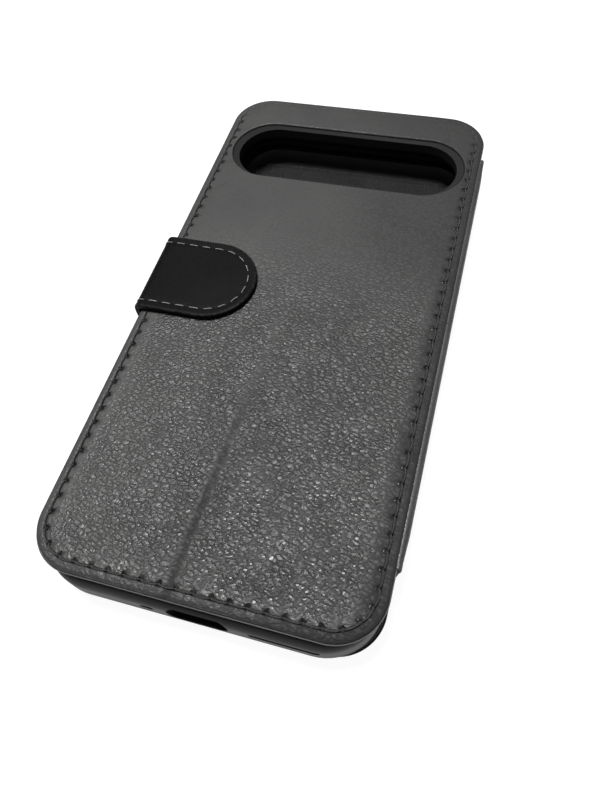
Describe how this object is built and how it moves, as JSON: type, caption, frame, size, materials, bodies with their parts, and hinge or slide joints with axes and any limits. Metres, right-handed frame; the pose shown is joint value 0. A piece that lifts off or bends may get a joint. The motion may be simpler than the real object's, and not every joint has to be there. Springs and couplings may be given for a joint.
{
  "type": "phone wallet case",
  "caption": "Book-style phone wallet case: moulded tray inside a stitched leather cover with a wide camera window, card pockets and a magnetic strap.",
  "frame": {"origin": "centre of the front cover's outer face, on which the closed case lies", "axes": "+Z out of the back panel, +Y towards the camera window, +X towards the spine; the strap is at -X"},
  "size_m": [0.0814, 0.1616, 0.0187],
  "materials": {
    "cover_leather": "satin pebble-grained black",
    "strap_leather": "smooth satin black",
    "lining": "matt microfibre, blue-black",
    "pocket_leather": "fine-grained satin black",
    "board": "bare grey board",
    "thread": "waxed black thread",
    "strap_thread": "dark grey thread",
    "tray_plastic": "semi-gloss soft moulded plastic",
    "adhesive": "thin glue film",
    "steel": "plain"
  },
  "bodies": {
    "back": {"back_leather": "cover_leather", "back_stitching": "thread", "back_board_strap_side": "board", "back_board_spine_side": "board", "back_board_top": "board", "back_clasp_plate": "steel", "back_lining": "lining", "tray_adhesive": "adhesive", "phone_tray": "tray_plastic"},
    "spine": {"spine_leather": "cover_leather", "spine_lining": "lining"},
    "front_cover": {"front_leather": "cover_leather", "front_stitching": "thread", "front_board": "board", "strap_anchor": "strap_leather", "front_lining": "lining", "cash_pocket": "pocket_leather", "card_pocket_1": "pocket_leather", "card_pocket_2": "pocket_leather", "card_pocket_3": "pocket_leather", "pocket_stitching": "thread"},
    "strap_side": {"strap_side_leather": "strap_leather", "strap_side_lining": "lining", "strap_side_stitching": "strap_thread"},
    "strap_tip": {"strap_tip_leather": "strap_leather", "strap_tip_lining": "lining", "strap_magnet": "steel", "strap_tip_stitching": "strap_thread"}
  },
  "joints": [
    {"name": "spine_fold", "type": "hinge", "parent": "back", "child": "spine", "pos_m": [0.04, 0, 0.0159], "axis": [0, -1, 0], "range_deg": [0, 175], "deforming": ["strap_side_leather", "strap_side_lining", "strap_side_stitching", "strap_tip_leather", "strap_tip_lining", "strap_magnet", "strap_tip_stitching"]},
    {"name": "cover_fold", "type": "hinge", "parent": "spine", "child": "front_cover", "pos_m": [0.04, 0, 0.0009], "axis": [0, -1, 0], "range_deg": [0, 175]},
    {"name": "strap_root_fold", "type": "hinge", "parent": "front_cover", "child": "strap_side", "pos_m": [-0.0402, 0.00095, 0.0009], "axis": [0, -1, 0], "range_deg": [0, 175]},
    {"name": "strap_tip_fold", "type": "hinge", "parent": "strap_side", "child": "strap_tip", "pos_m": [-0.0402, 0.00095, 0.0177], "axis": [0, -1, 0], "range_deg": [0, 90]}
  ]
}
